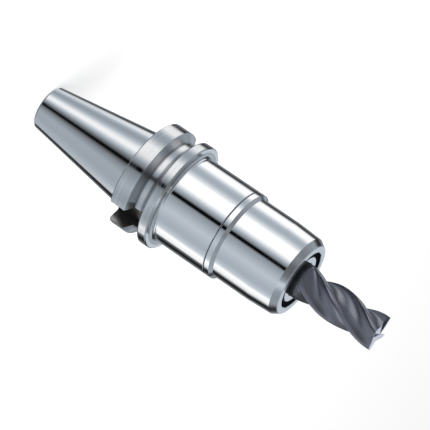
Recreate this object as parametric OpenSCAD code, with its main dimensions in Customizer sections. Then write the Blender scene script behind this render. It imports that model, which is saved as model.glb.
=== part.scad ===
// Roller-lock milling chuck on a 7/24 taper shank, with a four-flute end mill clamped in it.
// Origin at the centre of the gauge plane, +Z along the spindle axis toward the tool's tip.
// The nut is drawn tightened on the tool; turning it loose carries it forward along +Z.

/* [Taper shank] */
// Diameter of the taper at the gauge plane
gauge_d = 44.45; // [40:0.05:50]
// Length of the taper behind the gauge plane
taper_len = 65.4; // [60:0.1:75]
// Diameter that the taper loses over each 24 mm of its length
taper_drop = 7; // [6:0.25:8]
// Chamfer round the small end of the taper
taper_chamfer = 1; // [0.5:0.1:2]
// Length of the straight neck between the gauge plane and the flange
neck_len = 2; // [1:0.1:4]

/* [Pull stud thread] */
// Bore of the pull stud thread, at its nominal diameter
stud_bore_d = 16; // [14:0.1:16]
// Depth of the thread behind its pilot
stud_thread_depth = 28; // [20:1:32]
// Diameter of the plain pilot at the mouth of the thread
stud_pilot_d = 17; // [16.2:0.1:18]
// Depth of the plain pilot
stud_pilot_depth = 5; // [3:0.5:8]
// Chamfer at the mouth of the pilot
stud_mouth_chamfer = 0.8; // [0.4:0.1:1.5]

/* [Flange] */
// Outer diameter of the flange
flange_d = 63; // [60:0.5:70]
// Width of the flange
flange_w = 25; // [22:0.5:30]
// Distance from the flange's rear face to the middle of its V-groove
groove_centre = 14.6; // [13:0.1:16]
// Width of the V-groove's flat root
groove_root_w = 4.2; // [3:0.1:6]
// Diameter at the V-groove's root
groove_root_d = 53; // [50:0.5:56]
// Angle between the walls of the V-groove
groove_angle = 60; // [50:1:70]
// Chamfer on the four rims of the flange
rim_chamfer = 0.6; // [0.2:0.1:1]
// Fillet between the flange's front face and the body
flange_fillet = 2; // [1:0.25:4]

/* [Keyways] */
// Width of the two drive keyways
key_w = 16.1; // [12:0.1:18]
// Distance from the axis to the floor of a keyway
key_floor = 22.6; // [21:0.1:26]
// Length of a keyway from the flange's rear face
key_len = 19; // [16:0.5:21]
// Radius in the inner corners of a keyway
key_corner = 1; // [0.5:0.1:2]

/* [Body] */
// Diameter of the plain body in front of the flange
body_d = 51.8; // [48:0.2:54]
// Length of the body from the flange to the nut's seam
body_len = 34; // [28:0.5:42]
// Chamfer on the body's front edge and on the nut's rear edge, at the seam
seam_chamfer = 0.3; // [0.1:0.1:0.6]
// Diameter of the pilot that the nut's skirt slides on
pilot_d = 40; // [38:0.5:42]
// Length of the pilot
pilot_len = 8; // [7.5:0.25:10]

/* [Chuck sleeve] */
// Bore of the sleeve, the shank size that it grips
bore_d = 20; // [18:0.5:21]
// Depth of the bore from the sleeve's face
bore_depth = 70; // [66:1:76]
// Outer diameter of the sleeve at its face
sleeve_nose_d = 28; // [27:0.25:30]
// Length of the sleeve in front of the body
sleeve_len = 44; // [42:0.5:52]
// Length over which the sleeve grows by one millimetre in diameter
sleeve_taper = 32; // [24:1:48]
// Fillet where the sleeve leaves the pilot
sleeve_fillet = 1; // [0.5:0.25:1.5]
// Chamfer on the sleeve's outer edge
sleeve_chamfer = 0.4; // [0.2:0.1:0.8]
// Number of slits along the wall of the bore
slit_count = 6; // [4:1:8]
// Width of a slit
slit_w = 1; // [0.6:0.1:1.6]
// Depth of a slit into the sleeve's wall
slit_depth = 1.4; // [0.8:0.1:1.8]
// Unbroken length of bore in front of the slits
slit_land = 5; // [3:0.5:8]
// Radial depth of the relief groove behind the slits
relief_depth = 0.9; // [0.5:0.1:1.3]
// Width of the relief groove
relief_w = 3; // [2:0.25:5]

/* [Clamp nut] */
// Diameter of the collar at the nut's rear
collar_d = 51.8; // [49:0.2:54]
// Length of the collar
collar_len = 3.2; // [2:0.1:5]
// Diameter of the nut's barrel
barrel_d = 48; // [46:0.25:49]
// Length of the chamfer between the collar and the barrel
step_len = 1.7; // [1:0.1:3]
// Length of the straight barrel
barrel_len = 21.8; // [16:0.2:24]
// Diameter where the barrel's slight taper meets the nose chamfer
nose_d = 46.4; // [44:0.2:47]
// Length of the nose chamfer
nose_chamfer_len = 3.9; // [2:0.1:5]
// Diameter of the nut's flat front face
face_d = 41.6; // [38:0.2:43]
// Diameter of the opening in the nut's front face
mouth_d = 34; // [33.5:0.1:35]
// Distance that the nut's front face stands ahead of the sleeve's face
overhang = 0.85; // [0.4:0.05:1.5]
// Axial gap between the body and the nut when it is tight
seam_gap = 0.3; // [0.2:0.05:0.5]
// Forward travel of the nut in one turn
nut_lead = 2.5; // [2:0.1:3]
// Turns of the nut from tight to free
nut_turns = 1; // [0.75:0.05:1.1]

/* [Rollers and cage] */
// Diameter of a needle roller
roller_d = 2.5; // [2.2:0.05:2.8]
// Number of rollers in a row
roller_count = 20; // [16:1:24]
// Edge radius of a roller, cut as a chamfer
roller_edge = 0.2; // [0.1:0.05:0.4]
// Width of the cage's webs between its rows of windows
cage_web = 1.1; // [0.8:0.1:1.6]
// Thickness of the washers at both ends of the cage
washer_t = 0.6; // [0.4:0.1:1]

/* [Stop rings and seals] */
// Thickness of the two stop rings
ring_t = 1; // [0.8:0.1:1.2]
// Depth of a stop ring's groove
ring_groove = 0.8; // [0.5:0.1:1]
// Height that a stop ring stands out of its groove
ring_reach = 1.5; // [1.2:0.1:1.7]
// Gap between the ends of a stop ring
ring_split = 3; // [2:0.5:5]
// Length of the front seal
seal_len = 3.8; // [3.4:0.1:4.2]
// Depth of the seal's groove in the nut
seal_groove = 0.6; // [0.3:0.1:0.9]
// Length of the nut's lip in front of the seal
seal_lip = 0.8; // [0.5:0.1:1.2]
// Thickness of the seal's wiping edge
wiper_t = 0.8; // [0.5:0.1:1]
// Section diameter of the O-ring in the nut's skirt
skirt_ring_t = 1.6; // [1.4:0.1:2]
// Distance from the nut's rear face to the middle of that O-ring
skirt_ring_z = 3.4; // [3:0.1:3.8]

/* [Stop screw] */
// Nominal diameter of the stop screw's thread
stop_thread_d = 12; // [10:0.5:14]
// Length of its threaded shank
stop_shank_len = 25; // [20:1:28]
// Depth of its threaded hole behind the bore
stop_hole_depth = 30; // [26:1:34]
// Diameter of its head
stop_head_d = 19.4; // [17:0.1:19.6]
// Length of its head
stop_head_len = 6; // [5:0.25:7]
// Width across the flats of its hexagon socket
stop_key_w = 6; // [5:0.5:8]
// Depth of that socket
stop_key_depth = 6; // [4:0.5:8]
// Section diameter of its O-ring
stop_ring_t = 1.8; // [1.5:0.1:2.2]
// Diameter of the coolant hole through the stop screw
stop_coolant_d = 4; // [3:0.25:4.5]
// Diameter of the coolant hole through the shank
coolant_d = 6; // [5:0.5:9]

/* [End mill] */
// Length of the tool's shank that stands in the bore
shank_grip = 53.5; // [48:0.5:60]
// Length of the tool in front of the sleeve's face
tool_reach = 51.2; // [44:0.2:60]
// Length of full shank in front of the sleeve's face
shank_show = 2.6; // [1.2:0.1:6]
// Amount that the radius over the teeth is less than the shank's
mill_step = 0.02; // [0.01:0.01:0.05]
// Number of flutes
flute_count = 4; // [3:1:5]
// Helix angle of the flutes
helix_angle = 31.4; // [25:0.2:40]
// Angle that the tool is turned in the bore, from the +X axis to a cutting edge at the tip
tool_turn = 38; // [0:1:90]
// Depth of a flute
flute_depth = 3.6; // [3:0.1:4.5]
// Width of a tooth's land, as an angle round the axis
land_angle = 15; // [10:1:26]
// Drop of the land behind the cutting edge
land_relief = 0.6; // [0.2:0.05:0.8]
// Rake angle of the cutting edges
rake_angle = 10; // [4:1:14]
// Radius of the wheel that leaves the run-out of a flute
wheel_r = 20; // [16:1:45]
// Relief angle of the end teeth
end_relief = 8; // [4:1:12]
// Depth of the gashes between the end teeth
gash_depth = 1.6; // [1:0.1:3]
// Chamfer at the rear end of the tool's shank
shank_chamfer = 0.8; // [0.4:0.1:1.5]

/* [Clearances] */
// Radial clearance of the shank in the bore
grip_clear = 0.02; // [0.01:0.01:0.04]
// Radial clearance of parts that roll or slide on each other
run_clear = 0.05; // [0.03:0.01:0.08]
// Radial clearance between the cage and the cones on both sides of it
cage_clear = 0.35; // [0.25:0.05:0.45]
// Clearance of a roller in its window
window_clear = 0.08; // [0.04:0.01:0.12]
// Axial clearance between parts that only meet at the end of the travel
end_clear = 0.25; // [0.15:0.05:0.35]

/* [Hidden] */
$fn = 96;
// Overlap that lets a cut pass through a face
cut = 0.5;
row_count = 4;

// Places along the axis
taper_end_z = -taper_len;
flange_z = neck_len;
flange_front_z = flange_z + flange_w;
body_face_z = flange_front_z + body_len;
pilot_end_z = body_face_z + pilot_len;
sleeve_face_z = body_face_z + sleeve_len;
bore_floor_z = sleeve_face_z - bore_depth;
nut_rear_z = body_face_z + seam_gap;
nut_front_z = sleeve_face_z + overhang;
stud_end_z = taper_end_z + stud_pilot_depth + stud_thread_depth;
travel = nut_lead * nut_turns;

// Radii
gauge_r = gauge_d / 2;
flange_r = flange_d / 2;
body_r = body_d / 2;
pilot_r = pilot_d / 2;
bore_r = bore_d / 2 + grip_clear;
nose_r = sleeve_nose_d / 2;
gap_r = roller_d + 2 * run_clear;
function taper_r(z) = gauge_r + min(z, 0) * taper_drop / 24 / 2;
function sleeve_r(z) = nose_r + (sleeve_face_z - z) / sleeve_taper / 2;
function nut_cone_r(z) = sleeve_r(z) + gap_r;
cone_tilt = atan(0.5 / sleeve_taper);

// The nut's inside, from the rear to the front
skirt_r = pilot_r + run_clear;
skirt_ring_groove = skirt_ring_t - run_clear;
shoulder_z = pilot_end_z + end_clear;
nut_ring_z = shoulder_z + ring_t;
seal_front_z = nut_front_z - seal_lip - run_clear;
seal_rear_z = seal_front_z - seal_len;
seal_r = mouth_d / 2 + seal_groove;
sleeve_ring_z = seal_rear_z - end_clear - ring_t;

// The cage lies between the two stop rings and moves half as far as the nut
cage_room_rear = nut_ring_z + ring_t + travel / 2 + end_clear;
cage_room_front = sleeve_ring_z - travel / 2 - end_clear;
cage_rear_z = cage_room_rear + washer_t + run_clear;
cage_front_z = cage_room_front - washer_t - run_clear;
cage_len = cage_front_z - cage_rear_z;
window_len = (cage_len - (row_count + 1) * cage_web) / row_count;
roller_len = window_len - 2 * window_clear;
row_pitch = window_len + cage_web;
roller_skew = atan(nut_lead / (2 * PI * nut_cone_r((cage_rear_z + cage_front_z) / 2)));
function row_z(row) = cage_rear_z + cage_web + window_len / 2 + row * row_pitch;

// The stop screw ends just behind the tool's shank
tool_rear_z = sleeve_face_z - shank_grip;
stop_front_z = tool_rear_z - end_clear;
stop_head_z = stop_front_z - stop_head_len;
stop_ring_z = stop_head_z + stop_head_len / 2;
stop_ring_out_r = bore_r - run_clear;
stop_groove_r = stop_ring_out_r - stop_ring_t - run_clear;

// The tool
tool_r = bore_d / 2;
mill_r = tool_r - mill_step;
tool_tip_z = sleeve_face_z + tool_reach;
flute_z = sleeve_face_z + shank_show;
helix_pitch = PI * bore_d / tan(helix_angle);
runout_len = sqrt(pow(wheel_r, 2) - pow(wheel_r - flute_depth, 2));
tooth_angle = 360 / flute_count;

// Ground taper, neck, flange, body, pilot and sleeve as one outline
module holder_outline() {
    root_r = groove_root_d / 2;
    wall_run = (flange_r - root_r) * tan(groove_angle / 2);
    groove_z = flange_z + groove_centre;
    fillet_steps = 12;
    polygon(concat(
        [[0, taper_end_z],
         [taper_r(taper_end_z) - taper_chamfer, taper_end_z],
         [taper_r(taper_end_z + taper_chamfer), taper_end_z + taper_chamfer],
         [gauge_r, 0],
         [gauge_r, flange_z],
         [flange_r - rim_chamfer, flange_z],
         [flange_r, flange_z + rim_chamfer],
         [flange_r, groove_z - groove_root_w / 2 - wall_run],
         [root_r, groove_z - groove_root_w / 2],
         [root_r, groove_z + groove_root_w / 2],
         [flange_r, groove_z + groove_root_w / 2 + wall_run],
         [flange_r, flange_front_z - rim_chamfer],
         [flange_r - rim_chamfer, flange_front_z]],
        [for (step = [0 : fillet_steps])
            [body_r + flange_fillet * (1 - sin(90 * step / fillet_steps)),
             flange_front_z + flange_fillet * (1 - cos(90 * step / fillet_steps))]],
        [[body_r, body_face_z - seam_chamfer],
         [body_r - seam_chamfer, body_face_z],
         [pilot_r, body_face_z],
         [pilot_r, pilot_end_z - seam_chamfer],
         [pilot_r - seam_chamfer, pilot_end_z]],
        [for (step = [0 : fillet_steps])
            [sleeve_r(pilot_end_z + sleeve_fillet) + sleeve_fillet * (1 - sin(90 * step / fillet_steps)),
             pilot_end_z + sleeve_fillet * (1 - cos(90 * step / fillet_steps))]],
        [[sleeve_r(sleeve_face_z - sleeve_chamfer), sleeve_face_z - sleeve_chamfer],
         [nose_r - sleeve_chamfer, sleeve_face_z],
         [0, sleeve_face_z]]));
}

// Pull stud pilot and thread, coolant hole, stop screw hole and gripping bore
module holder_bores() {
    pilot_r = stud_pilot_d / 2;
    translate([0, 0, taper_end_z - cut])
        cylinder(r = pilot_r, h = stud_pilot_depth + cut);
    translate([0, 0, taper_end_z - stud_mouth_chamfer])
        cylinder(r1 = pilot_r + 2 * stud_mouth_chamfer, r2 = pilot_r, h = 2 * stud_mouth_chamfer);
    translate([0, 0, taper_end_z])
        cylinder(d = stud_bore_d, h = stud_end_z - taper_end_z);
    translate([0, 0, stud_end_z])
        cylinder(d1 = stud_bore_d, d2 = coolant_d, h = (stud_bore_d - coolant_d) / 2);
    translate([0, 0, taper_end_z])
        cylinder(d = coolant_d, h = bore_floor_z - taper_end_z);
    translate([0, 0, bore_floor_z - stop_hole_depth])
        cylinder(r = stop_thread_d / 2 + run_clear, h = stop_hole_depth + cut);
    translate([0, 0, bore_floor_z])
        cylinder(r = bore_r, h = bore_depth + cut);
    translate([0, 0, sleeve_face_z - sleeve_chamfer])
        cylinder(r1 = bore_r, r2 = bore_r + 2 * sleeve_chamfer, h = 2 * sleeve_chamfer);
}

// Slits along the bore and the relief groove that they run into
module bore_slits() {
    relief_z = pilot_end_z - relief_w;
    slit_z = relief_z + relief_w / 2;
    slit_len = sleeve_face_z - slit_land - slit_z;
    translate([0, 0, relief_z])
        cylinder(r = bore_r + relief_depth, h = relief_w);
    for (slit = [0 : slit_count - 1])
        rotate([0, 0, (slit + 0.5) * 360 / slit_count])
            translate([0, -slit_w / 2, slit_z])
                cube([bore_r + slit_depth, slit_w, slit_len]);
}

// One drive keyway, with its inner corners rounded
module keyway() {
    reach = flange_r - key_floor + cut;
    rotate([90, 0, 90])
        translate([0, 0, key_floor])
            linear_extrude(height = reach)
                translate([-key_w / 2, flange_z - cut])
                    keyway_outline();
}

// Keyway seen along its own floor: open at the rear, rounded at its closed end
module keyway_outline() {
    run = key_len + cut;
    square([key_w, run - key_corner]);
    translate([key_corner, 0])
        square([key_w - 2 * key_corner, run]);
    for (x = [key_corner, key_w - key_corner])
        translate([x, run - key_corner])
            circle(r = key_corner, $fn = 32);
}

module holder_body() {
    color([0.72, 0.74, 0.76])
    difference() {
        rotate_extrude() holder_outline();
        holder_bores();
        bore_slits();
        for (side = [0, 180])
            rotate([0, 0, side]) keyway();
        ring_room(sleeve_ring_z, sleeve_r(sleeve_ring_z) - ring_groove);
    }
}

// Groove for a stop ring in the outside of a shaft
module ring_room(z, floor_r) {
    translate([0, 0, z - run_clear])
        difference() {
            cylinder(r = floor_r + gap_r, h = ring_t + 2 * run_clear);
            translate([0, 0, -cut])
                cylinder(r = floor_r, h = ring_t + 2 * cut);
        }
}

// The nut's outside runs up one side and its inside down the other
module nut_outline() {
    collar_r = collar_d / 2;
    barrel_r = barrel_d / 2;
    mouth_r = mouth_d / 2;
    collar_z = nut_rear_z + collar_len;
    barrel_z = collar_z + step_len;
    ring_z = nut_rear_z + skirt_ring_z;
    groove_half = skirt_ring_t / 2 + run_clear;
    seal_room = seal_rear_z - run_clear;
    polygon([
        [skirt_r, nut_rear_z],
        [collar_r - seam_chamfer, nut_rear_z],
        [collar_r, nut_rear_z + seam_chamfer],
        [collar_r, collar_z],
        [barrel_r, barrel_z],
        [barrel_r, barrel_z + barrel_len],
        [nose_d / 2, nut_front_z - nose_chamfer_len],
        [face_d / 2, nut_front_z],
        [mouth_r + seam_chamfer, nut_front_z],
        [mouth_r, nut_front_z - seam_chamfer],
        [mouth_r, nut_front_z - seal_lip],
        [seal_r, nut_front_z - seal_lip],
        [seal_r, seal_room],
        [nut_cone_r(seal_room), seal_room],
        [nut_cone_r(nut_ring_z + ring_t + run_clear), nut_ring_z + ring_t + run_clear],
        [nut_cone_r(nut_ring_z) + ring_groove, nut_ring_z + ring_t + run_clear],
        [nut_cone_r(nut_ring_z) + ring_groove, nut_ring_z - run_clear],
        [nut_cone_r(nut_ring_z), nut_ring_z - run_clear],
        [nut_cone_r(shoulder_z), shoulder_z],
        [skirt_r, shoulder_z],
        [skirt_r, ring_z + groove_half],
        [skirt_r + skirt_ring_groove, ring_z + groove_half],
        [skirt_r + skirt_ring_groove, ring_z - groove_half],
        [skirt_r, ring_z - groove_half]]);
}

module clamp_nut() {
    color([0.74, 0.75, 0.77])
    rotate_extrude() nut_outline();
}

// Black ring in the nut's nose: a thick rim and a wiping edge at its rear
module front_seal() {
    rim_r = seal_r - run_clear;
    wipe_r = nose_r + (sleeve_face_z - seal_rear_z) / sleeve_taper / 2 + run_clear;
    dust_r = wipe_r + run_clear * 4;
    web_r = (rim_r + wipe_r) / 2;
    color([0.06, 0.06, 0.07])
    rotate_extrude()
        polygon([
            [wipe_r, seal_rear_z],
            [rim_r, seal_rear_z],
            [rim_r, seal_front_z],
            [mouth_d / 2 - seam_chamfer, seal_front_z],
            [web_r, seal_front_z - seam_chamfer],
            [dust_r, seal_front_z - seam_chamfer],
            [dust_r, seal_front_z - wiper_t],
            [web_r, seal_front_z - wiper_t - seam_chamfer],
            [web_r, seal_rear_z + wiper_t + seam_chamfer],
            [wipe_r, seal_rear_z + wiper_t]]);
}

// O-ring in the nut's skirt, squeezed between its groove and the pilot
module skirt_o_ring() {
    color([0.08, 0.08, 0.08])
    translate([0, 0, nut_rear_z + skirt_ring_z])
        rotate_extrude()
            translate([pilot_r + run_clear + (skirt_ring_t - run_clear) / 2, 0])
                circle(d = skirt_ring_t - 2 * run_clear, $fn = 32);
}

// Flat open ring: the space between two radii, with a gap between its ends
module open_ring(z, in_r, out_r) {
    translate([0, 0, z])
        difference() {
            cylinder(r = out_r, h = ring_t);
            translate([0, 0, -cut])
                cylinder(r = in_r, h = ring_t + 2 * cut);
            translate([0, -ring_split / 2, -cut])
                cube([out_r + cut, ring_split, ring_t + 2 * cut]);
        }
}

module nut_stop_ring() {
    seat_r = nut_cone_r(nut_ring_z) + ring_groove - grip_clear;
    color([0.35, 0.35, 0.38])
    open_ring(nut_ring_z, seat_r - ring_groove - ring_reach, seat_r);
}

module sleeve_stop_ring() {
    seat_r = sleeve_r(sleeve_ring_z) - ring_groove + grip_clear;
    color([0.35, 0.35, 0.38])
    open_ring(sleeve_ring_z, seat_r, seat_r + ring_groove + ring_reach);
}

// Washer that rides on the sleeve with the cage
module cage_washer(z) {
    in_r = sleeve_r(z) + run_clear;
    translate([0, 0, z])
        difference() {
            cylinder(r = nut_cone_r(z + washer_t) - cage_clear, h = washer_t);
            translate([0, 0, -cut])
                cylinder(r = in_r, h = washer_t + 2 * cut);
        }
}

module cage_washer_front() {
    color([0.88, 0.86, 0.78])
    cage_washer(cage_room_front - washer_t);
}

module cage_washer_rear() {
    color([0.88, 0.86, 0.78])
    cage_washer(cage_room_rear);
}

// Puts its child at one roller's place: along the cone, skewed about the radius
module at_roller(row, item) {
    stagger = row % 2 / 2;
    rotate([0, 0, (item + stagger) * 360 / roller_count])
        translate([sleeve_r(row_z(row)) + gap_r / 2, 0, row_z(row)])
            rotate([0, -cone_tilt, 0])
                rotate([roller_skew, 0, 0])
                    children();
}

// Conical shell with four rows of skewed windows
module roller_cage() {
    window_w = roller_d + 2 * window_clear;
    color([0.68, 0.55, 0.28])
    difference() {
        rotate_extrude()
            polygon([
                [sleeve_r(cage_rear_z) + cage_clear, cage_rear_z],
                [nut_cone_r(cage_rear_z) - cage_clear, cage_rear_z],
                [nut_cone_r(cage_front_z) - cage_clear, cage_front_z],
                [sleeve_r(cage_front_z) + cage_clear, cage_front_z]]);
        for (row = [0 : row_count - 1], item = [0 : roller_count - 1])
            at_roller(row, item)
                cube([2 * gap_r, window_w, window_len], center = true);
    }
}

// One needle roller, lying along Z about its own middle
module roller() {
    half = roller_len / 2;
    r = roller_d / 2;
    rotate_extrude($fn = 32)
        polygon([
            [0, -half],
            [r - roller_edge, -half],
            [r, -half + roller_edge],
            [r, half - roller_edge],
            [r - roller_edge, half],
            [0, half]]);
}

module roller_row(row) {
    color([0.80, 0.81, 0.83])
    for (item = [0 : roller_count - 1])
        at_roller(row, item) roller();
}

module stop_screw() {
    color([0.30, 0.30, 0.32])
    difference() {
        union() {
            translate([0, 0, stop_head_z - stop_shank_len])
                cylinder(d = stop_thread_d, h = stop_shank_len + cut);
            translate([0, 0, stop_head_z])
                cylinder(d = stop_head_d, h = stop_head_len);
        }
        translate([0, 0, stop_ring_z])
            difference() {
                cylinder(d = stop_head_d + cut, h = stop_ring_t + 2 * run_clear, center = true);
                cylinder(r = stop_groove_r, h = stop_ring_t + cut, center = true);
            }
        translate([0, 0, stop_front_z - stop_key_depth])
            cylinder(d = stop_key_w / cos(30), h = stop_key_depth + cut, $fn = 6);
        translate([0, 0, stop_head_z - stop_shank_len - cut])
            cylinder(d = stop_coolant_d, h = stop_shank_len + stop_head_len);
    }
}

module stop_o_ring() {
    color([0.08, 0.08, 0.08])
    translate([0, 0, stop_ring_z])
        rotate_extrude()
            translate([stop_ring_out_r - stop_ring_t / 2, 0])
                circle(d = stop_ring_t, $fn = 32);
}

// One tooth and the flute behind it, as points of radius and angle back from its cutting edge
function polar(r, a) = [r * cos(a), r * sin(a)];
function bezier(a, b, c, d, t) =
    pow(1 - t, 3) * a + 3 * pow(1 - t, 2) * t * b + 3 * (1 - t) * t * t * c + pow(t, 3) * d;
flute_steps = 13;
land_steps = 3;
heel = polar(mill_r - land_relief, -land_angle);
back_edge = polar(mill_r, -tooth_angle);
// The flute's curve leaves the heel and the cutting edge by these shares of its depth
heel_reach = 0.75;
heel_turn = 150;
edge_reach = 1.25;
heel_pull = heel + heel_reach * flute_depth * polar(1, -land_angle - heel_turn);
rake_pull = back_edge + edge_reach * flute_depth * polar(1, -tooth_angle + 180 + rake_angle);
land_points = [for (i = [0 : land_steps])
    [mill_r - land_relief * pow(i / (land_steps + 1), 2), -land_angle * i / (land_steps + 1)]];
flute_points = [for (i = [0 : flute_steps - 1])
    let (p = bezier(heel, heel_pull, rake_pull, back_edge, i / flute_steps)) [norm(p), atan2(p.y, p.x)]];
tooth = concat(land_points, flute_points);
section = [for (k = [0 : flute_count - 1], p = tooth) [p[0], p[1] - k * tooth_angle]];
section_size = len(section);

// Share of the full flute depth that is cut at a height, from the wheel's radius
function cut_share(z) =
    z <= flute_z ? 0 :
    z >= flute_z + runout_len ? 1 :
    (sqrt(pow(wheel_r, 2) - pow(flute_z + runout_len - z, 2)) - (wheel_r - flute_depth)) / flute_depth;
function twist(z) = 360 * (z - tool_tip_z) / helix_pitch + tool_turn;

// The section at a height: a plain circle at the shank, full flutes past the run-out
function flute_ring(z) =
    let (share = cut_share(z))
    [for (i = [0 : section_size - 1])
        let (r = mill_r - (mill_r - section[i][0]) * share,
             a = section[i][1] * share - 360 * i / section_size * (1 - share) + twist(z))
        [r * cos(a), r * sin(a), z]];

// Drop of the end face behind an end edge: relief first, then the gash, which fades at the centre
gash_start = 0.55;
gash_full = 0.9;
gash_centre = 0.4;
function gash_share(share) = sin(90 * min(1, (share - gash_start) / (gash_full - gash_start)));
function end_drop(r, behind) =
    let (share = behind / tooth_angle, relief = tan(end_relief) * r * behind * PI / 180)
    share < gash_start ? relief :
    max(relief, gash_depth * gash_share(share) * min(1, r / mill_r / gash_centre));
function end_ring(scale) = [for (p = section)
    let (r = p[0] * scale, z = tool_tip_z - end_drop(r, (360 * 2 - p[1]) % tooth_angle), a = p[1] + twist(z))
    [r * cos(a), r * sin(a), z]];

// Rings from inside the shank to the tip, then smaller ones that close the end face
ring_step = 1.25;
end_scales = [1, 0.8, 0.6, 0.4, 0.2];
flute_top_z = tool_tip_z - gash_depth - ring_step;
ring_total = ceil((flute_top_z - flute_z) / ring_step);
mill_rings = concat(
    [flute_ring(flute_z - ring_step)],
    [for (i = [0 : ring_total]) flute_ring(flute_z + (flute_top_z - flute_z) * i / ring_total)],
    [for (scale = end_scales) end_ring(scale)]);

module fluted_part() {
    n = section_size;
    last = len(mill_rings) - 1;
    tip = (last + 1) * n;
    polyhedron(
        points = concat([for (ring = mill_rings, p = ring) p], [[0, 0, tool_tip_z], [0, 0, flute_z - ring_step]]),
        faces = concat(
            [for (k = [0 : last - 1], i = [0 : n - 1]) [k * n + i, k * n + (i + 1) % n, (k + 1) * n + i]],
            [for (k = [0 : last - 1], i = [0 : n - 1])
                [(k + 1) * n + i, k * n + (i + 1) % n, (k + 1) * n + (i + 1) % n]],
            [for (i = [0 : n - 1]) [last * n + i, last * n + (i + 1) % n, tip]],
            [for (i = [0 : n - 1]) [i, tip + 1, (i + 1) % n]]));
}

module end_mill() {
    color([0.26, 0.26, 0.31])
    union() {
        translate([0, 0, tool_rear_z])
            cylinder(r1 = tool_r - shank_chamfer, r2 = tool_r, h = shank_chamfer);
        translate([0, 0, tool_rear_z + shank_chamfer])
            cylinder(r = tool_r, h = flute_z - tool_rear_z - shank_chamfer);
        fluted_part();
    }
}

holder_body();
clamp_nut();
front_seal();
skirt_o_ring();
nut_stop_ring();
sleeve_stop_ring();
cage_washer_front();
cage_washer_rear();
roller_cage();
roller_row(0);  // roller_row_1
roller_row(1);  // roller_row_2
roller_row(2);  // roller_row_3
roller_row(3);  // roller_row_4
stop_screw();
stop_o_ring();
end_mill();
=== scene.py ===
# Looks of a roller-lock milling chuck that holds an end mill: finishes, studio, floor and camera
import math

import bpy
import numpy as np
from mathutils import Matrix, Vector


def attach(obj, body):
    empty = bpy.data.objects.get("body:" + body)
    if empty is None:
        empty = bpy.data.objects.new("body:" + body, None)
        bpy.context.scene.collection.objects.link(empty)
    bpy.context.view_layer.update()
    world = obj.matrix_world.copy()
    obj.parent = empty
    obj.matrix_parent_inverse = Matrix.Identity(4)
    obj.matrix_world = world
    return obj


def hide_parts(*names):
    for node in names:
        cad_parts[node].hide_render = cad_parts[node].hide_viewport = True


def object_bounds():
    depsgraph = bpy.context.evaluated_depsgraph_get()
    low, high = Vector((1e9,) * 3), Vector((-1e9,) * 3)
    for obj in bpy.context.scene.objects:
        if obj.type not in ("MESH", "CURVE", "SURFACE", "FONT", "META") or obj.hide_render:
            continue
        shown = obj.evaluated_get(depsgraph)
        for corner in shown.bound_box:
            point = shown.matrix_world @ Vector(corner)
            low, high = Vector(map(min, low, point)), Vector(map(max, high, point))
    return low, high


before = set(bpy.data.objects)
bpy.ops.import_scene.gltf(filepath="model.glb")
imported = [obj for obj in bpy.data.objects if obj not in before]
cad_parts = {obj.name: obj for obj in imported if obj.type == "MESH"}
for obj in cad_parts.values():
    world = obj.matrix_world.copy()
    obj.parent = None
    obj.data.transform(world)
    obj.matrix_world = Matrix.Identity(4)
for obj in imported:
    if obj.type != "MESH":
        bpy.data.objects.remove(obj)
cad_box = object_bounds()

MM = 0.001
# Edges that turn more than this stay sharp, and a vertex this near the XZ plane counts as in it
SHARP_ANGLE = math.radians(28)
PLANE_GAP = 0.001 * MM

# Camera: its turns about Z, X and Z, and the object's origin in the camera's own axes
CAMERA_AZIMUTH = 30.4
CAMERA_ELEVATION = 17.465
CAMERA_ROLL = 124.33
ORIGIN_IN_CAMERA = Vector((-0.03849, 0.02304, -1.2529))
LENS = 197.1
SENSOR = 36.0

# Floor and light
FLOOR_HALF = 8.0
FLOOR_COLOUR = (0.90, 0.90, 0.90, 1.0)
FLOOR_LIFT = 0.30
SOFT_LEVEL = 0.62
WHITE = (1.0, 1.0, 1.0, 1.0)
# Azimuth and elevation in degrees, distance and size in metres, and power in watts
LAMPS = {"key_light": (-20, 50, 1.2, 1.0, 9.0), "fill_light": (-130, 35, 1.4, 1.2, 4.0)}

# Studio round the object: reflectors at angles from the camera's side in degrees, and their levels
VIEW_AZIMUTH = CAMERA_AZIMUTH - 90
COOL = (0.845, 0.945, 1.055)
UNDER_WALL = [
    (-180, 0.20), (-150, 0.12), (-130, 0.16), (-100, 0.42), (-60, 0.40), (-25, 0.24), (0, 0.14),
    (25, 0.26), (60, 0.52), (100, 0.40), (130, 0.16), (150, 0.12), (180, 0.20)]
TAPER_WALL = [
    (-180, 0.24), (-152, 0.18), (-144, 0.08), (-131, 0.08), (-116, 0.52), (-96, 0.54), (-76, 0.48),
    (-40, 0.50), (-18, 0.30), (-10, 0.15), (-3, 0.0), (3, 0.0), (18, 0.34), (30, 0.72), (41, 1.10),
    (51, 1.08), (61, 0.82), (71, 0.56), (87, 0.40), (101, 0.50), (117, 0.82), (124, 0.68), (133, 0.34),
    (141, 0.19), (157, 0.36), (180, 0.30)]
BODY_WALL = [
    (-180, 0.30), (-154, 0.22), (-145, 0.02), (-131, 0.02), (-126, 0.24), (-118, 1.00), (-101, 1.30),
    (-91, 0.75), (-76, 0.56), (-64, 0.57), (-40, 0.70), (-26, 0.58), (-7, 0.36), (-3, 0.0), (3, 0.0),
    (7, 0.30), (14, 0.55), (28, 1.30), (54, 1.30), (62, 0.90), (72, 0.60), (80, 0.53), (90, 0.62),
    (107, 1.30), (126, 1.20), (138, 0.05), (145, 0.03), (153, 0.22), (180, 0.30)]
FRONT_WALL = [
    (-180, 0.68), (-168, 0.62), (-160, 0.40), (-152, 0.05), (-132, 0.03), (-118, 0.22), (-90, 0.40),
    (-60, 0.50), (-30, 0.60), (0, 0.50), (30, 0.60), (60, 0.45), (85, 0.30), (120, 0.40), (134, 0.04),
    (148, 0.04), (156, 0.45), (164, 0.66), (180, 0.68)]
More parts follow.
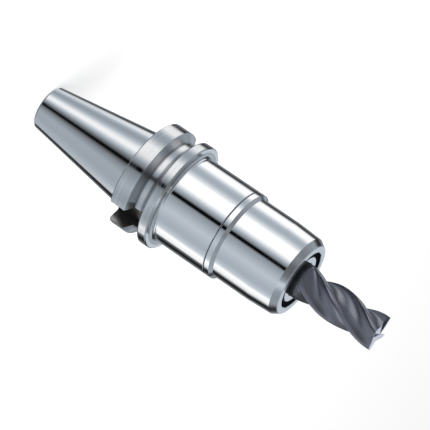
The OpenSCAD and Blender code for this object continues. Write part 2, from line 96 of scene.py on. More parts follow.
HIGH_WALL = [
    (-180, 0.72), (-150, 0.64), (-133, 0.45), (-90, 0.34), (-72, 0.40), (-58, 0.68), (-46, 0.76),
    (-36, 0.42), (-20, 0.22), (0, 0.15), (20, 0.16), (45, 0.29), (75, 0.26), (126, 0.42), (143, 0.40),
    (152, 0.58), (180, 0.72)]
TOP_WALL = [(-180, 0.26), (0, 0.26), (180, 0.26)]
ZENITH_WALL = [(-180, 1.2), (0, 1.2), (180, 1.2)]
# Each wall with the elevations between which it takes over from the wall below it
WALLS = [(-50, -43, TAPER_WALL), (-31, -25, BODY_WALL), (-2, 6, FRONT_WALL), (14, 26, HIGH_WALL),
         (66, 76, TOP_WALL), (83, 86, ZENITH_WALL)]

# Finishes, with painted shade where noted: colour and roughness
GROUND = ((0.80, 0.81, 0.82, 1.0), 0.10)
FLANGE = ((0.60, 0.61, 0.62, 1.0), 0.11)
FLANGE_LINES = ((0.70, 0.71, 0.72, 1.0), 0.24)
# Turned steel of the gripper groove, darkened by painted shade; its side walls carry more painted
# shade, and the corners of its root the most
TURNED_AND_SHADED = ((0.68, 0.69, 0.70, 1.0), 0.22)
GROOVE_WALL_SHADE = ((0.58, 0.59, 0.60, 1.0), 0.22)
CREASE_SHADE = ((0.38, 0.39, 0.40, 1.0), 0.26)
# Milled keyways darkened by painted shade, with less of it near the flange's rims
MILLED_SHADED = ((0.20, 0.19, 0.18, 1.0), 0.27)
MILLED_RIM_SHADED = ((0.42, 0.41, 0.40, 1.0), 0.27)
SATIN = ((0.86, 0.87, 0.88, 1.0), 0.34)
SHADED = ((0.10, 0.10, 0.11, 1.0), 0.30)
# Painted shade in a ring where the flange's front face meets the fillet before the body
FILLET_SHADE = ((0.50, 0.51, 0.52, 1.0), 0.20)
POLISHED = ((0.84, 0.85, 0.87, 1.0), 0.06)
COATED = ((0.195, 0.20, 0.235, 1.0), 0.24)
# The tool's shank near-black as painted shade from the nut's mouth, and darker at its foot as a painted
# shadow where it enters the sleeve
SHANK_SHADE = ((0.058, 0.066, 0.066, 1.0), 0.26)
SHANK_FOOT_SHADOW = ((0.022, 0.024, 0.026, 1.0), 0.30)
BARE_CARBIDE = ((0.80, 0.78, 0.86, 1.0), 0.30)
SPRING = ((0.16, 0.16, 0.18, 1.0), 0.32)
LAPPED = ((0.84, 0.85, 0.86, 1.0), 0.10)
BRASS = ((0.72, 0.55, 0.28, 1.0), 0.25)
OXIDE = ((0.07, 0.07, 0.075, 1.0), 0.36)
RUBBER = ((0.004, 0.004, 0.006, 1.0), 0.80)
PLASTIC = ((0.75, 0.72, 0.62, 1.0), 0.45)

# Fine and broad lines in metal: noise scales, and how much each adds to the roughness
FINE_SCALE = 2600.0
BROAD_SCALE = 420.0
FINE_SHARE = 0.06
BROAD_SHARE = 0.05
# How much a step sideways and a step outward count in the noise, next to a step along the axis
SIDEWAYS_SHARE = 0.02
OUTWARD_SHARE = 0.7
# Bump of the lines, and the share of a whole turn that lays their gleam across them
LINE_BUMP = 0.1
LINE_DEPTH = 0.00002
GLEAM_TURN = 0.25
# Coarser lines of the flange's rims, shown where their noise passes from the low to the high value
RIM_SCALE = 1100.0
RIM_SIDEWAYS_SHARE = 0.03
RIM_LINE_LOW = 0.42
RIM_LINE_HIGH = 0.60
# Grain of rubber and plastic
GRAIN_SHARE = 0.2
GRAIN_BUMP = 0.3
GRAIN_DEPTH = 0.00005

# Flange, in metres: its rims, its gripper groove, its keyways, and a ring of painted shade where its
# front face meets the fillet before the body
RIMS_RADIUS = 0.0312
RIMS_REAR = 0.0025
RIMS_FRONT = 0.0265
GROOVE_REAR = 0.0115
GROOVE_FRONT = 0.0217
GROOVE_RADIUS = 0.03143
GROOVE_MIDDLE = 0.0166
WALL_RADIUS = 0.02655
ROOT_RADIUS = 0.0265
ROOT_HALF = 0.0021
# Distances from a root corner within which the painted shade is full and beyond which it ends
CREASE_DARK = 0.0003
CREASE_END = 0.0012
FRONT_RIM_EDGE = 0.02159
FRONT_RIM_RADIUS = 0.0314
FRONT_RIM_ROUND = 0.0005
KEYWAY_REAR = 0.0019
KEYWAY_FRONT = 0.0211
KEYWAY_HALF = 0.00808
KEYWAY_FLOOR = 0.0225
# Radii between which the keyways' painted shade fades from dark to pale
KEYWAY_DARK = 0.0265
KEYWAY_PALE = 0.0308
FILLET_SHADE_INNER = 0.0272
FILLET_SHADE_OUTER = 0.0289
FILLET_SHADE_REAR = 0.02695
FILLET_SHADE_FRONT = 0.0275

# Mouth of the chuck and the tool in it, in metres
SLEEVE_FACE = 0.10458
SLEEVE_RADIUS = 0.0141
SLEEVE_CHAMFER = 0.01358
NUT_CORNER = 0.1054
NUT_CORNER_RADIUS = 0.0202
# Heights where the shank's painted shade and the painted shadow at its foot fade out
SHANK_SHADE_END = 0.1052
FOOT_DARK = 0.1056
FOOT_END = 0.1069
COAT_FULL = 0.1095
END_FACES = 0.1548
# Upward parts of the surface direction between which an end face begins
FACE_LOW = 0.93
FACE_HIGH = 0.96

# Nut, turned again from its outline with broken edges, in millimetres and degrees
NUT_STEPS = 192
EDGE_ROUND = 0.25
NOSE_ROUND = 0.6
NOSE_HEIGHT = 105.0
BORE_LIMIT = 19.5
LEAST_TURN = 2.0
ROUND_STEP = 12.0
ROUND_HOLD = 0.03
ROUND_ROOM = 0.4

# Pull stud thread, in millimetres
THREAD_WALL = 8.02
THREAD_CREST = 6.92
THREAD_PITCH = 2.0
THREAD_START = -59.3
THREAD_END = -33.4
THREAD_FOOT = 0.87
THREAD_TOP = 0.25
THREAD_STEPS = 48

# Stop screw, in millimetres, with the shares of half a pitch where its crest ends and its root begins
SCREW_R = 6.0
SCREW_PITCH = 1.75
SCREW_DEPTH = 1.0
SCREW_CREST = 0.12
SCREW_ROOT = 0.88
SCREW_CHAMFER = 1.2
SCREW_RELIEF = 1.6
SCREW_STEPS = 96
PITCH_STEPS = 8
KEY_HALF_WIDTH = 3.0
KEY_CORNER = round(KEY_HALF_WIDTH / math.cos(math.radians(30)), 3)

# End mill, in millimetres and degrees
SHANK_R = 10.0
MILL_R = 9.98
FLUTE_START = 107.6
TOOL_REAR = 51.5
TOOL_TIP = 156.2
SHANK_CHAMFER = 0.8
TOOTH_COUNT = 4
HELIX_ANGLE = 31.4
TOOL_TURN = 38.0
FLUTE_DEPTH = 3.6
LAND_ANGLE = 15.0
LAND_RELIEF = 0.6
RAKE_ANGLE = 10.0
HEEL_REACH = 0.75
HEEL_TURN = 150.0
EDGE_REACH = 1.25
WHEEL_R = 20.0
END_RELIEF = 8.0
GASH_DEPTH = 1.6
GASH_START = 0.55
GASH_FULL = 0.9
GASH_CENTRE = 0.4
TOOTH_ANGLE = 360 / TOOTH_COUNT
HELIX_PITCH = 2 * math.pi * SHANK_R / math.tan(math.radians(HELIX_ANGLE))
RUNOUT = math.sqrt(WHEEL_R ** 2 - (WHEEL_R - FLUTE_DEPTH) ** 2)
LAND_STEPS = 8
FLUTE_STEPS = 32
RING_STEP = 0.3
END_RINGS = 14


class Graph:
    """A node tree built by calls: each call adds one node or a few."""

    def __init__(self, tree):
        self.tree = tree
        tree.nodes.clear()

    def node(self, kind, inputs=(), **properties):
        """A node with its properties set, and each input linked to an output or set to a value."""
        made = self.tree.nodes.new(kind)
        for name, value in properties.items():
            setattr(made, name, value)
        pairs = inputs.items() if isinstance(inputs, dict) else enumerate(inputs)
        for key, value in pairs:
            if isinstance(value, bpy.types.NodeSocket):
                self.tree.links.new(value, made.inputs[key])
            else:
                made.inputs[key].default_value = value
        return made

    def math(self, operation, *values, clamp=False):
        return self.node("ShaderNodeMath", values, operation=operation, use_clamp=clamp).outputs[0]

    def add(self, a, b):
        return self.math("ADD", a, b)

    def less(self, a, b):
        return self.math("SUBTRACT", a, b)

    def times(self, a, b):
        return self.math("MULTIPLY", a, b)

    def above(self, value, limit):
        return self.math("GREATER_THAN", value, limit)

    def below(self, value, limit):
        return self.math("LESS_THAN", value, limit)

    def inside(self, value, low, high):
        """1 where value lies between low and high, 0 elsewhere."""
        return self.times(self.above(value, low), self.below(value, high))

    def length(self, a, b):
        return self.math("SQRT", self.add(self.times(a, a), self.times(b, b)))

    def step(self, value, start, end, low=0.0, high=1.0):
        """Goes smoothly from low to high while value goes from start to end."""
        return self.node("ShaderNodeMapRange", {0: value, 1: start, 2: end, 3: low, 4: high},
                         interpolation_type="SMOOTHSTEP").outputs[0]

    def mix(self, factor, a, b):
        """A colour between a and b."""
        return self.node("ShaderNodeMix", {0: factor, 6: a, 7: b}, data_type="RGBA").outputs[2]

    def lerp(self, factor, a, b):
        """A number between a and b."""
        return self.node("ShaderNodeMix", {0: factor, 2: a, 3: b}, data_type="FLOAT").outputs[0]

    def ramp(self, factor, stops):
        """A colour that goes through the stops while factor goes from 0 to 1."""
        made = self.node("ShaderNodeValToRGB", (factor,))
        points = made.color_ramp.elements
        while len(points) < len(stops):
            points.new(1.0)
        for point, (place, colour) in zip(points, stops):
            point.position = place
            point.color = colour
        return made.outputs[0]

    def split(self, vector):
        return self.node("ShaderNodeSeparateXYZ", (vector,)).outputs

    def rings(self, part, share, along):
        """A place for noise in rings round the axis: sideways steps count only for this share."""
        x, y = self.times(part[0], share), self.times(part[1], share)
        return self.node("ShaderNodeCombineXYZ", (x, y, along)).outputs[0]

    def noise(self, vector, scale):
        return self.node("ShaderNodeTexNoise", {"Vector": vector, "Scale": scale}).outputs[0]

    def bump(self, height, strength, distance, **more):
        inputs = {"Strength": strength, "Distance": distance, "Height": height}
        return self.node("ShaderNodeBump", inputs | more).outputs[0]


def tinted(level):
    """A studio grey: cool in the middle of the range, neutral when black or white."""
    share = 4 * min(level, 1) * (1 - min(level, 1))
    return tuple(level * (1 + share * (c - 1)) for c in COOL) + (1.0,)


def bands(graph, turn, stops):
    """Levels round the studio, while turn goes from 0 to 1: one ramp for each half."""
    halves = []
    for start in (-180, 0):
        part = [((angle - start) / 180, tinted(level)) for angle, level in stops
                if start <= angle <= start + 180]
        halves.append(graph.ramp(graph.math("MULTIPLY_ADD", turn, 2.0, -1.0 - start / 180), part))
    return graph.mix(graph.above(turn, 0.5), *halves)


def make_world():
    """White to the camera, plain and soft on matt surfaces, and pale and dark walls in metal."""
    world = bpy.data.worlds.new("studio")
    bpy.context.scene.world = world
    world.use_nodes = True
    g = Graph(world.node_tree)
    part = g.split(g.node("ShaderNodeTexCoord").outputs["Generated"])
    azimuth = g.math("ARCTAN2", part[1], part[0])
    # Half a turn puts 0 degrees at the camera's side, and one more keeps the sum above 0
    turn = g.math("MULTIPLY_ADD", azimuth, -1 / (2 * math.pi), VIEW_AZIMUTH / 360 + 1.5)
    turn = g.math("FRACT", turn)
    rise = g.times(g.math("ARCSINE", part[2]), 180 / math.pi)
    wall = bands(g, turn, UNDER_WALL)
    for start, end, stops in WALLS:
        wall = g.mix(g.step(rise, start, end), wall, bands(g, turn, stops))
    path = g.node("ShaderNodeLightPath").outputs
    soft = (SOFT_LEVEL, SOFT_LEVEL, SOFT_LEVEL, 1.0)
    shown = g.mix(path["Is Glossy Ray"], soft, wall)
    shown = g.mix(path["Is Camera Ray"], shown, WHITE)
    background = g.node("ShaderNodeBackground", {"Color": shown, "Strength": 1.0})
    g.node("ShaderNodeOutputWorld", {"Surface": background.outputs[0]})


def make_camera():
    """The scene's camera, from its turns and from where the object's origin lies in its view."""
    turns = (Matrix.Rotation(math.radians(CAMERA_AZIMUTH), 3, "Z")
             @ Matrix.Rotation(math.radians(90 - CAMERA_ELEVATION), 3, "X")
             @ Matrix.Rotation(math.radians(CAMERA_ROLL), 3, "Z"))
    data = bpy.data.cameras.new("camera")
    data.lens = LENS
    data.sensor_width = SENSOR
    camera = bpy.data.objects.new("camera", data)
    camera.matrix_world = Matrix.Translation(-(turns @ ORIGIN_IN_CAMERA)) @ turns.to_4x4()
    bpy.context.scene.collection.objects.link(camera)
    bpy.context.scene.camera = camera


def new_material(name):
    """A material with the graph of its nodes."""
    material = bpy.data.materials.new(name)
    material.use_nodes = True
    return material, Graph(material.node_tree)


def make_floor():
    """A pale floor under the small end. Metal doesn't show it: the studio's walls surround it."""
    z = cad_box[0].z
    mesh = bpy.data.meshes.new("floor")
    corners = [(x * FLOOR_HALF, y * FLOOR_HALF, z) for x, y in ((-1, -1), (1, -1), (1, 1), (-1, 1))]
    mesh.from_pydata(corners, [], [(0, 1, 2, 3)])
    floor = bpy.data.objects.new("floor", mesh)
    bpy.context.scene.collection.objects.link(floor)
    floor.visible_glossy = False
    material, g = new_material("floor")
    matt = g.node("ShaderNodeBsdfDiffuse", {"Color": FLOOR_COLOUR}).outputs[0]
    seen = g.node("ShaderNodeLightPath").outputs["Is Camera Ray"]
    lift = g.node("ShaderNodeEmission", {"Color": WHITE, "Strength": g.times(seen, FLOOR_LIFT)})
    lit = g.node("ShaderNodeAddShader", (matt, lift.outputs[0])).outputs[0]
    clear = g.node("ShaderNodeBsdfTransparent").outputs[0]
    below = g.node("ShaderNodeNewGeometry").outputs["Backfacing"]
    surface = g.node("ShaderNodeMixShader", (below, lit, clear)).outputs[0]
    g.node("ShaderNodeOutputMaterial", {"Surface": surface})
    mesh.materials.append(material)


def make_lamp(name, azimuth, elevation, distance, size, power):
    """A square soft lamp that faces the object. Metal doesn't show it: the studio's walls light it."""
    a, e = math.radians(azimuth), math.radians(elevation)
    back = Vector((math.cos(a) * math.cos(e), math.sin(a) * math.cos(e), math.sin(e)))
    data = bpy.data.lights.new(name, "AREA")
    data.size = size
    data.energy = power
    lamp = bpy.data.objects.new(name, data)
    centre = (cad_box[0] + cad_box[1]) / 2
    facing = back.to_track_quat("Z", "Y").to_matrix().to_4x4()
    lamp.matrix_world = Matrix.Translation(centre + back * distance) @ facing
    lamp.visible_glossy = False
    bpy.context.scene.collection.objects.link(lamp)


def rim_zones(g, part, radius):
    """The flange's rims, with coarser lines in them."""
    rims = g.times(g.above(radius, RIMS_RADIUS), g.inside(part[2], RIMS_REAR, RIMS_FRONT))
    noise = g.noise(g.rings(part, RIM_SIDEWAYS_SHARE, part[2]), RIM_SCALE)
    lines = g.times(rims, g.step(noise, RIM_LINE_LOW, RIM_LINE_HIGH))
    return [(rims, FLANGE), (lines, FLANGE_LINES)]


def groove_zones(g, part, radius):
    """The gripper groove as turned, with painted shade: darker on its side walls, darkest in the
    corners of its root.
    """
    groove = g.times(g.inside(part[2], GROOVE_REAR, GROOVE_FRONT), g.below(radius, GROOVE_RADIUS))
    walls = g.times(groove, g.above(radius, WALL_RADIUS))
    aside = g.less(g.math("ABSOLUTE", g.less(part[2], GROOVE_MIDDLE)), ROOT_HALF)
    away = g.length(aside, g.less(radius, ROOT_RADIUS))
    crease_shade = g.step(away, CREASE_DARK, CREASE_END, 1.0, 0.0)
    return [(groove, TURNED_AND_SHADED), (walls, GROOVE_WALL_SHADE), (crease_shade, CREASE_SHADE)]


def keyway_zones(g, part, radius):
    """The keyways as milled, with painted shade: darkest deep inside, paler toward the flange's rims.
    """
    across = g.below(g.math("ABSOLUTE", part[1]), KEYWAY_HALF)
    deep = g.above(g.math("ABSOLUTE", part[0]), KEYWAY_FLOOR)
    keyway = g.times(g.times(across, deep), g.inside(part[2], KEYWAY_REAR, KEYWAY_FRONT))
    outer = g.times(keyway, g.step(radius, KEYWAY_DARK, KEYWAY_PALE))
    return [(keyway, MILLED_SHADED), (outer, MILLED_RIM_SHADED)]


def sleeve_zones(g, part, radius):
    """The sleeve's polished face and its shaded rim."""
    front = g.above(part[2], SLEEVE_FACE)
    face = g.times(front, g.below(radius, SLEEVE_CHAMFER))
    rim = g.times(front, g.inside(radius, SLEEVE_CHAMFER, SLEEVE_RADIUS))
    return [(face, POLISHED), (rim, SHADED)]


def fillet_shade_zones(g, part, radius):
    """A ring of painted shade where the flange's front face meets the fillet before the body."""
    ring = g.inside(radius, FILLET_SHADE_INNER, FILLET_SHADE_OUTER)
    return [(g.times(ring, g.inside(part[2], FILLET_SHADE_REAR, FILLET_SHADE_FRONT)), FILLET_SHADE)]


def holder_zones(g, part, radius):
    """All zones of the holder, where a later one covers those before it."""
    makers = (rim_zones, groove_zones, keyway_zones, sleeve_zones, fillet_shade_zones)
    return [zone for maker in makers for zone in maker(g, part, radius)]


def round_rim(g, part, radius, normal):
    """Bump that breaks the edge where the gripper groove meets the flange's front rim."""
    into = g.math("DIVIDE", g.less(part[2], FRONT_RIM_EDGE), FRONT_RIM_ROUND)
    left = g.math("SUBTRACT", 1.0, into, clamp=True)
    on_rim = g.times(g.above(radius, FRONT_RIM_RADIUS), g.above(part[2], GROOVE_MIDDLE))
    height = g.times(g.times(g.times(left, left), -FRONT_RIM_ROUND / 2), on_rim)
    return g.bump(height, 1.0, 1.0, Normal=normal)


def nut_zones(g, part, radius):
    """The corner between the nut's nose and its face is broken with a satin finish."""
    corner = g.times(g.above(part[2], NUT_CORNER), g.above(radius, NUT_CORNER_RADIUS))
    return [(corner, SATIN)]


def tool_zones(g, part, radius):
    """The shank carries painted shade from the nut's mouth, with a darker painted shadow at its foot;
    the coating starts at the flutes, and the end faces are ground bare.
    """
    shank = g.step(part[2], SHANK_SHADE_END, COAT_FULL, 1.0, 0.0)
    foot = g.step(part[2], FOOT_DARK, FOOT_END, 1.0, 0.0)
    upright = g.split(g.node("ShaderNodeTexCoord").outputs["Normal"])[2]
    faces = g.times(g.above(part[2], END_FACES), g.step(upright, FACE_LOW, FACE_HIGH))
    return [(shank, SHANK_SHADE), (foot, SHANK_FOOT_SHADOW), (faces, BARE_CARBIDE)]


def no_zones(g, part, radius):
    """The finish is the same everywhere."""
    return []


def metal(name, finish, anisotropy=0.0, zones=no_zones, height=None, metallic=1.0):
    """Metal with fine lines round the axis. Zones have another finish, and height adds its own bump."""
    material, g = new_material(name)
    part = g.split(g.node("ShaderNodeTexCoord").outputs["Object"])
    radius = g.length(part[0], part[1])
    along = g.add(part[2], g.times(radius, OUTWARD_SHARE))
    rings = g.rings(part, SIDEWAYS_SHARE, along)
    fine = g.noise(rings, FINE_SCALE)
    grain = g.add(g.times(fine, FINE_SHARE), g.times(g.noise(rings, BROAD_SCALE), BROAD_SHARE))
    colour, rough = finish
    for mask, (zone_colour, zone_rough) in zones(g, part, radius):
        colour = g.mix(mask, colour, zone_colour)
        rough = g.lerp(mask, rough, zone_rough)
    rough = g.add(grain, g.less(rough, (FINE_SHARE + BROAD_SHARE) / 2))
    normal = g.bump(fine, LINE_BUMP, LINE_DEPTH)
    if height:
        normal = height(g, part, radius, normal)
    tangent = g.node("ShaderNodeTangent", direction_type="RADIAL", axis="Z").outputs[0]
    shader = g.node("ShaderNodeBsdfPrincipled", {
        "Base Color": colour, "Metallic": metallic, "Roughness": rough, "Normal": normal,
        "Anisotropic": anisotropy, "Anisotropic Rotation": GLEAM_TURN, "Tangent": tangent})
    g.node("ShaderNodeOutputMaterial", {"Surface": shader.outputs[0]})
    return material


def plain(name, finish, grain_scale, gloss):
    """Rubber or plastic with a fine grain."""
    material, g = new_material(name)
    colour, roughness = finish
    grain = g.noise(g.node("ShaderNodeTexCoord").outputs["Object"], grain_scale)
    rough = g.add(g.times(grain, GRAIN_SHARE), roughness - GRAIN_SHARE / 2)
    shader = g.node("ShaderNodeBsdfPrincipled", {
        "Base Color": colour, "Metallic": 0.0, "Roughness": rough, "Specular IOR Level": gloss,
        "Normal": g.bump(grain, GRAIN_BUMP, GRAIN_DEPTH)})
    g.node("ShaderNodeOutputMaterial", {"Surface": shader.outputs[0]})
    return material


def dress(name, material):
    """Puts a material in every slot of a node."""
    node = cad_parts[name]
    if not node.material_slots:
        node.data.materials.append(material)
    for slot in node.material_slots:
        slot.material = material


def make_piece(name, points, faces, material):
    """A piece with smooth faces and sharp edges, from points in millimetres."""
    mesh = bpy.data.meshes.new(name)
    mesh.from_pydata((points * MM).tolist(), [], faces)
    mesh.shade_smooth()
    mesh.set_sharp_from_angle(angle=SHARP_ANGLE)
    mesh.materials.append(material)
    piece = bpy.data.objects.new(name, mesh)
    bpy.context.scene.collection.objects.link(piece)
    return piece


def polar(radius, angle):
    """A point in the plane, from its radius and its angle in degrees."""
    a = math.radians(angle)
    return np.array([radius * math.cos(a), radius * math.sin(a)])


def tooth_outline():
    """Radius and angle along one tooth's land and then its flute, from its cutting edge backward."""
    heel = polar(MILL_R - LAND_RELIEF, -LAND_ANGLE)
    next_edge = polar(MILL_R, -TOOTH_ANGLE)
    heel_pull = heel + HEEL_REACH * FLUTE_DEPTH * polar(1, -LAND_ANGLE - HEEL_TURN)
    rake_pull = next_edge + EDGE_REACH * FLUTE_DEPTH * polar(1, 180 - TOOTH_ANGLE + RAKE_ANGLE)
    share = np.arange(LAND_STEPS) / LAND_STEPS
    land = np.stack([MILL_R - LAND_RELIEF * share ** 2, -LAND_ANGLE * share], axis=1)
    t = (np.arange(FLUTE_STEPS) / FLUTE_STEPS)[:, None]
    curve = ((1 - t) ** 3 * heel + 3 * (1 - t) ** 2 * t * heel_pull
             + 3 * (1 - t) * t ** 2 * rake_pull + t ** 3 * next_edge)
    x, y = curve.T
    flute = np.stack([np.hypot(x, y), np.degrees(np.arctan2(y, x))], axis=1)
    return np.concatenate([land, flute])


def mill_section():
    """The outline of all teeth across the axis, as radius and angle."""
    tooth = tooth_outline()
    return np.concatenate([tooth - (0, k * TOOTH_ANGLE) for k in range(TOOTH_COUNT)])


def cut_share(z):
    """Share of the full flute depth at a height: the grinding wheel leaves the tool along an arc."""
    left = min(max(FLUTE_START + RUNOUT - z, 0), RUNOUT)
    return (math.sqrt(WHEEL_R ** 2 - left ** 2) - (WHEEL_R - FLUTE_DEPTH)) / FLUTE_DEPTH


def twist(z):
    """How far the flutes have turned at a height, in degrees."""
    return 360 * (z - TOOL_TIP) / HELIX_PITCH + TOOL_TURN


def ring(radius, angle, z):
    """Points round the axis, from their radii, angles and heights."""
    radius, angle, z = np.broadcast_arrays(radius, np.radians(angle), z)
    return np.stack([radius * np.cos(angle), radius * np.sin(angle), z], axis=1)


def shank_ring(count, radius, z):
    """A round ring that starts at the angle where the flutes start."""
    return ring(radius, -360 * np.arange(count) / count + twist(FLUTE_START), z)


def flute_ring(section, z):
    """A ring of the fluted part, as deep as the flutes are at its height."""
    share = cut_share(z)
    even = -360 * np.arange(len(section)) / len(section)
    radius = MILL_R - (MILL_R - section[:, 0]) * share
    return ring(radius, section[:, 1] * share + even * (1 - share) + twist(z), z)


def end_ring(section, scale):
    """A ring on the end face: it drops behind each end edge by the relief and then by the gash."""
    radius = section[:, 0] * scale
    behind = np.mod(-section[:, 1], TOOTH_ANGLE)
    share = behind / TOOTH_ANGLE
    relief = math.tan(math.radians(END_RELIEF)) * radius * np.radians(behind)
    depth = np.sin(math.pi / 2 * np.clip((share - GASH_START) / (GASH_FULL - GASH_START), 0, 1))
    gash = GASH_DEPTH * depth * np.minimum(1, radius / MILL_R / GASH_CENTRE)
    drop = np.where(share < GASH_START, relief, np.maximum(relief, gash))
    return ring(radius, section[:, 1] + twist(TOOL_TIP - drop), TOOL_TIP - drop)


def skin_faces(ring_count, count):
    """Faces of a closed skin over rings of points, with a fan at each end round one more point."""
    last = ring_count - 1
    low = ring_count * count
    turn = [(i, (i + 1) % count) for i in range(count)]
    faces = [(k * count + j, k * count + i, (k + 1) * count + i, (k + 1) * count + j)
             for k in range(last) for i, j in turn]
    faces += [(low, i, j) for i, j in turn]
    faces += [(low + 1, last * count + j, last * count + i) for i, j in turn]
    return faces


def make_end_mill(material):
    """The end mill again, with its flutes in finer steps."""
    section = mill_section()
    count = len(section)
    full = TOOL_TIP - GASH_DEPTH - RING_STEP
    heights = np.linspace(FLUTE_START, full, int((full - FLUTE_START) / RING_STEP))
    rings = [shank_ring(count, SHANK_R - SHANK_CHAMFER, TOOL_REAR),
             shank_ring(count, SHANK_R, TOOL_REAR + SHANK_CHAMFER),
             shank_ring(count, SHANK_R, FLUTE_START)]
    rings += [flute_ring(section, z) for z in heights]
    rings += [end_ring(section, 1 - k / END_RINGS) for k in range(END_RINGS)]
    centres = np.array([(0, 0, TOOL_REAR), (0, 0, TOOL_TIP)])
    points = np.concatenate(rings + [centres])
    piece = make_piece("end_mill_ground", points, skin_faces(len(rings), count), material)
    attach(piece, "holder")
    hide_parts("end_mill")


def meridian(node):
    """The closed outline of a turned node, as radius and height, read off its mesh in the XZ plane."""
    mesh = node.data
    places = {v.index: (round(v.co.x / MM, 3), round(v.co.z / MM, 3))
              for v in mesh.vertices if abs(v.co.y) < PLANE_GAP and v.co.x > 0}
    links = {}
    for edge in mesh.edges:
        a, b = (places.get(i) for i in edge.vertices)
        if a and b and a != b:
            links.setdefault(a, set()).add(b)
            links.setdefault(b, set()).add(a)
    start = min(links)
    loop = [start]
    here = max(links[start])
    while here != start:
        onward = links[here] - {loop[-1]}
        loop.append(here)
        here = onward.pop()
    points = np.array(loop)
    radius, height = points.T
    area = np.sum(radius * np.roll(height, -1) - np.roll(radius, -1) * height)
    return points if area > 0 else points[::-1]


def rounded(before, corner, after, turn):
    """Points of an arc in place of a corner. Points beside it keep the flats' shading flat."""
    into = (corner - before) / np.linalg.norm(corner - before)
    away = (after - corner) / np.linalg.norm(after - corner)
    size = NOSE_ROUND if corner[1] > NOSE_HEIGHT else EDGE_ROUND
    room = ROUND_ROOM * min(np.linalg.norm(corner - before), np.linalg.norm(after - corner))
    reach = min(size * math.tan(abs(turn) / 2), room)
    first, last = corner - reach * into, corner + reach * away
    steps = math.ceil(math.degrees(abs(turn)) / ROUND_STEP)
    arc = [(1 - t) ** 2 * first + 2 * t * (1 - t) * corner + t ** 2 * last
           for t in (k / steps for k in range(steps + 1))]
    return [first - ROUND_HOLD * into] + arc + [last + ROUND_HOLD * away]


def broken_edges(points):
    """The outline with its outer corners rounded."""
    made = []
    for before, corner, after in zip(np.roll(points, 1, axis=0), points, np.roll(points, -1, axis=0)):
        into, away = corner - before, after - corner
        turn = math.atan2(into[0] * away[1] - into[1] * away[0], float(into @ away))
        if corner[0] < BORE_LIMIT or abs(turn) < math.radians(LEAST_TURN):
            made.append(corner)
        else:
            made += rounded(before, corner, after, turn)
    return np.array(made)


def lathe(name, outline, steps, material, shape=None):
    """A closed outline turned round the Z axis. A shape, if given, varies the radii with the angle."""
    count = len(outline)
    angle = (np.arange(steps) * 2 * math.pi / steps)[:, None]
    radius = np.tile(outline[:, 0], (steps, 1))
    height = np.tile(outline[:, 1], (steps, 1))
    if shape:
        radius = shape(angle, radius, height)
    points = np.stack([radius * np.cos(angle), radius * np.sin(angle), height], axis=2).reshape(-1, 3)
    faces = []
    for k in range(steps):
        here, there = k * count, (k + 1) % steps * count
        faces += [(here + i, there + i, there + j, here + j)
                  for i, j in ((i, (i + 1) % count) for i in range(count))]
    return make_piece(name, points, faces, material)


def make_nut(material):
    """The clamp nut again, with its edges broken."""
    outline = broken_edges(meridian(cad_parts["clamp_nut"]))
    piece = lathe("clamp_nut_turned", outline, NUT_STEPS, material)
    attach(piece, "nut")
    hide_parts("clamp_nut")


def screw_shape(angle, radius, height):
    """Radii of the stop screw: a V thread along its shank, and a hexagonal key hole in its head."""
    shank = radius == SCREW_R
    low, high = height[shank].min(), height[shank].max()
    phase = np.mod(height / SCREW_PITCH - angle / (2 * math.pi), 1)
    vee = np.clip((np.abs(2 * phase - 1) - SCREW_CREST) / (SCREW_ROOT - SCREW_CREST), 0, 1)
    chamfer = np.clip(1 - (height - low) / SCREW_CHAMFER, 0, 1)
    relief = height > high - SCREW_RELIEF
    cut = SCREW_DEPTH * np.maximum(np.maximum(vee, chamfer), relief)
    sixth = math.pi / 3
    hexagon = KEY_HALF_WIDTH / np.cos(np.mod(angle, sixth) - sixth / 2)
    return np.where(shank, radius - cut, np.where(radius == KEY_CORNER, hexagon, radius))


def make_stop_screw(material):
    """The stop screw again, with its thread cut."""
    outline = meridian(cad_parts["stop_screw"])
    foot = next(i for i in range(len(outline) - 1) if outline[i, 0] == outline[i + 1, 0] == SCREW_R)
    heights = np.arange(outline[foot, 1], outline[foot + 1, 1], SCREW_PITCH / PITCH_STEPS)[1:]
    between = np.stack([np.full(len(heights), SCREW_R), heights], axis=1)
    outline = np.insert(outline, foot + 1, between, axis=0)
    piece = lathe("stop_screw_threaded", outline, SCREW_STEPS, material, screw_shape)
    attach(piece, "stop")
    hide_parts("stop_screw")


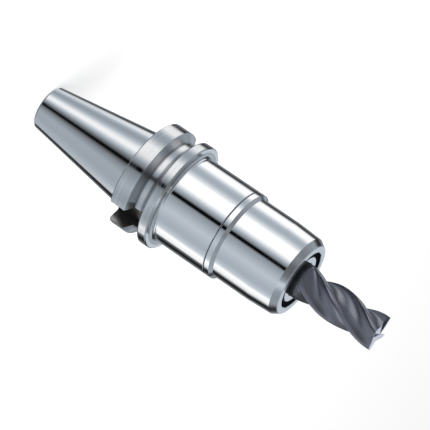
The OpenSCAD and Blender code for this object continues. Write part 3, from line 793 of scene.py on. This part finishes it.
def make_thread(material):
    """Ridges of the pull stud thread, wound right-handed round the wall of its bore."""
    profile = [(THREAD_WALL, -THREAD_FOOT), (THREAD_CREST, -THREAD_TOP), (THREAD_CREST, THREAD_TOP),
               (THREAD_WALL, THREAD_FOOT)]
    count = len(profile)
    steps = int((THREAD_END - THREAD_START) / THREAD_PITCH * THREAD_STEPS)
    points = []
    for k in range(steps + 1):
        angle = 2 * math.pi * k / THREAD_STEPS
        z = THREAD_START + THREAD_PITCH * k / THREAD_STEPS
        points += [(r * math.cos(angle), r * math.sin(angle), z + dz) for r, dz in profile]
    turn = [(i, (i + 1) % count) for i in range(count)]
    faces = [(k * count + i, k * count + j, (k + 1) * count + j, (k + 1) * count + i)
             for k in range(steps) for i, j in turn]
    last = steps * count
    faces += [range(count)[::-1], range(last, last + count)]
    piece = make_piece("pull_stud_thread", np.array(points), faces, material)
    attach(piece, "holder")


make_camera()
make_world()
make_floor()
for lamp_name, setting in LAMPS.items():
    make_lamp(lamp_name, *setting)

steel = metal("ground_steel", GROUND, anisotropy=0.85, zones=holder_zones, height=round_rim)
nut_steel = metal("nut_steel", GROUND, anisotropy=0.85, zones=nut_zones)
spring = metal("spring_steel", SPRING, anisotropy=0.4)
lapped = metal("roller_steel", LAPPED)
brass = metal("cage_brass", BRASS, anisotropy=0.5)
oxide = metal("black_steel", OXIDE)
coat = metal("tool_coating", COATED, zones=tool_zones, metallic=0.85)
rubber = plain("black_rubber", RUBBER, grain_scale=2400.0, gloss=0.02)
plastic = plain("washer_plastic", PLASTIC, grain_scale=900.0, gloss=0.5)
FINISHES = {
    "holder_body": steel, "clamp_nut": nut_steel, "nut_stop_ring": spring, "sleeve_stop_ring": spring,
    "roller_row_1": lapped, "roller_row_2": lapped, "roller_row_3": lapped, "roller_row_4": lapped,
    "roller_cage": brass, "cage_washer_front": plastic, "cage_washer_rear": plastic,
    "front_seal": rubber, "skirt_o_ring": rubber, "stop_o_ring": rubber, "stop_screw": oxide,
    "end_mill": coat}
for node_name, material in FINISHES.items():
    dress(node_name, material)
make_end_mill(coat)
make_thread(steel)
make_nut(nut_steel)
make_stop_screw(oxide)

scene = bpy.context.scene
scene.view_settings.view_transform = "Standard"
